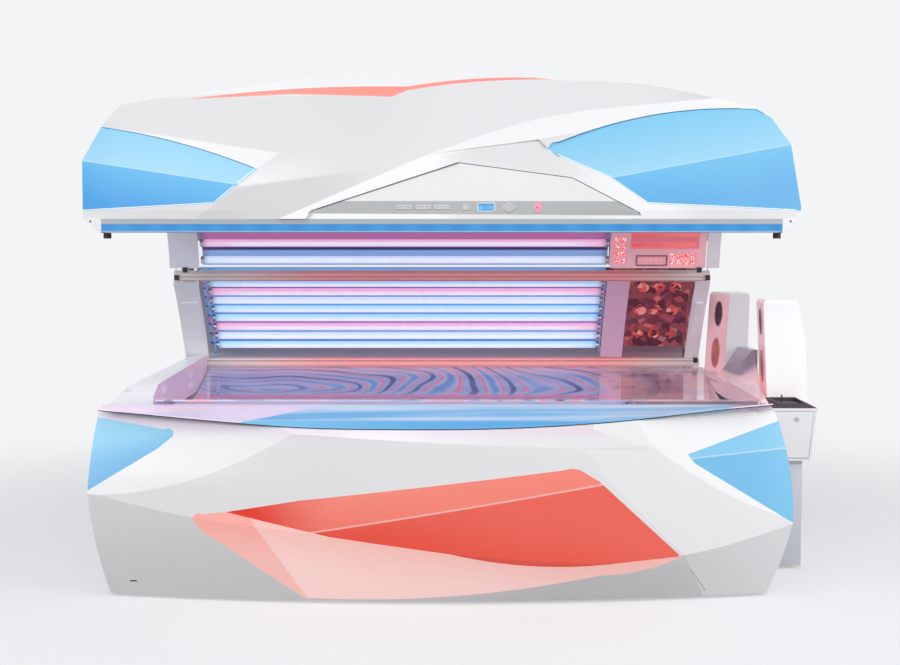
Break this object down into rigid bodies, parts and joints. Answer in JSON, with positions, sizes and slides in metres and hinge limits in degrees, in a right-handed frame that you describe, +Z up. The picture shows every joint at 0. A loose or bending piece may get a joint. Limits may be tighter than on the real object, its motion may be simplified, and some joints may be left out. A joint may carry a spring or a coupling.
{
  "type": "clamshell tanning bed",
  "caption": "Clamshell tanning bed: faceted white shell with blue and red windows, leaning lamp wall, hinged lamp canopy with a key console, and a head end with speakers.",
  "frame": {"origin": "centre of the footprint's bounding box, at floor level", "axes": "+X along the bed towards the head end, +Y from the open front to the hinge side, +Z up"},
  "size_m": [2.5821, 1.5099, 1.792],
  "materials": {
    "white_shell": "gloss",
    "grey_console": "satin",
    "pearl_bar": "satin",
    "blue_window": "gloss",
    "red_window": "gloss",
    "blush_window": "gloss",
    "coral_trim": "gloss",
    "clear_acrylic": "clear",
    "lamp_glass": "frosted",
    "diode_red": "clear",
    "light_blue": "satin",
    "display": "gloss",
    "key_silver": "satin",
    "key_pink": "satin",
    "black_plastic": "satin",
    "plum_mesh": "satin",
    "grey_panel": "satin",
    "rubber_black": "matte",
    "aluminium_warm": "satin",
    "reflector": "bright",
    "steel_painted": "satin",
    "steel_grey": "satin",
    "steel_bright": "polished",
    "pink_panel": "satin"
  },
  "bodies": {
    "base": {"red_window": "red_window", "blush_window": "blush_window", "base_blue_windows": "blue_window", "base_front_panel": "white_shell", "base_corner_panel": "white_shell", "base_rear_shell": "white_shell", "seam_gasket": "rubber_black", "armrest_ledge": "pearl_bar", "base_frame": "steel_painted", "levelling_feet": "rubber_black", "bench_acrylic": "clear_acrylic", "bench_lamps": "lamp_glass", "bench_reflector": "reflector", "wall_acrylic": "clear_acrylic", "wall_lamps": "lamp_glass", "wall_shell": "reflector", "shoulder_housing": "pink_panel", "shoulder_window": "clear_acrylic", "wall_end_caps": "white_shell", "wall_profiles": "aluminium_warm", "wall_rear_cover": "white_shell", "foot_console": "white_shell", "head_shelf": "white_shell", "speaker_housings": "white_shell", "speaker_grilles": "plum_mesh", "service_column": "grey_panel", "service_box": "white_shell", "service_tray": "black_plastic", "hinge_brackets": "steel_painted", "ballasts": "steel_painted", "blower_housing": "grey_panel"},
    "canopy": {"canopy_windows": "blue_window", "canopy_trim": "coral_trim", "canopy_crown": "white_shell", "canopy_fascia": "white_shell", "console_panel": "grey_console", "display_window": "display", "light_bar": "pearl_bar", "light_strip": "light_blue", "bar_end_caps": "white_shell", "bumper_feet": "rubber_black", "canopy_acrylic": "clear_acrylic", "canopy_lamps": "lamp_glass", "canopy_reflector": "reflector", "canopy_frame": "steel_grey", "canopy_liner": "white_shell", "face_tanner": "pink_panel", "face_glass": "clear_acrylic", "face_diodes": "diode_red"},
    "blower_rotor": {"blower_rotor": "black_plastic"},
    "door_lock": {"door_lock": "steel_bright"},
    "key_face_lamp": {"key_face_lamp": "key_silver"},
    "key_select": {"key_select": "key_silver"},
    "key_speed_high": {"key_speed_high": "key_silver"},
    "key_speed_low": {"key_speed_low": "key_silver"},
    "key_speed_mid": {"key_speed_mid": "key_silver"},
    "key_start": {"key_start": "key_pink"},
    "service_door": {"service_door": "white_shell"},
    "spring_cylinders": {"spring_cylinders": "steel_painted"},
    "spring_rods": {"spring_rods": "steel_bright"}
  },
  "joints": [
    {"name": "canopy_close", "type": "hinge", "parent": "base", "child": "canopy", "pos_m": [0, 0.455, 1.103], "axis": [1, 0, 0], "range_deg": [0, 29]},
    {"name": "spring_swing", "type": "hinge", "parent": "base", "child": "spring_cylinders", "pos_m": [0, 0.6, 0.76], "axis": [1, 0, 0], "range_deg": [0, 3.4]},
    {"name": "spring_stroke", "type": "slide", "parent": "spring_cylinders", "child": "spring_rods", "axis": [0, -0.4472, 0.8944], "range_m": [-0.017, 0]},
    {"name": "press_speed_low", "type": "slide", "parent": "canopy", "child": "key_speed_low", "axis": [0, 0.8944, -0.4472], "range_m": [0, 0.0012], "stiffness_N_per_m": 400},
    {"name": "press_speed_mid", "type": "slide", "parent": "canopy", "child": "key_speed_mid", "axis": [0, 0.8944, -0.4472], "range_m": [0, 0.0012], "stiffness_N_per_m": 400},
    {"name": "press_speed_high", "type": "slide", "parent": "canopy", "child": "key_speed_high", "axis": [0, 0.8944, -0.4472], "range_m": [0, 0.0012], "stiffness_N_per_m": 400},
    {"name": "press_face_lamp", "type": "slide", "parent": "canopy", "child": "key_face_lamp", "axis": [0, 0.8944, -0.4472], "range_m": [0, 0.0012], "stiffness_N_per_m": 400},
    {"name": "press_select", "type": "slide", "parent": "canopy", "child": "key_select", "axis": [0, 0.8944, -0.4472], "range_m": [0, 0.0012], "stiffness_N_per_m": 400},
    {"name": "press_start", "type": "slide", "parent": "canopy", "child": "key_start", "axis": [0, 0.8944, -0.4472], "range_m": [0, 0.0012], "stiffness_N_per_m": 400},
    {"name": "blower_spin", "type": "hinge", "parent": "base", "child": "blower_rotor", "pos_m": [-0.2, -0.18, 0.21], "axis": [1, 0, 0], "continuous": true},
    {"name": "door_open", "type": "hinge", "parent": "base", "child": "service_door", "pos_m": [1.18, -0.189, 0.418], "axis": [1, 0, 0], "range_deg": [0, 95]},
    {"name": "lock_turn", "type": "hinge", "parent": "service_door", "child": "door_lock", "pos_m": [1.201, -0.19, 0.553], "axis": [0, 1, 0], "range_deg": [0, 90]}
  ],
  "couplings": [
    {"joint": "spring_swing", "follows": "canopy_close", "ratio": 0.113},
    {"joint": "spring_stroke", "follows": "canopy_close", "m_per_rad": -0.03254}
  ]
}
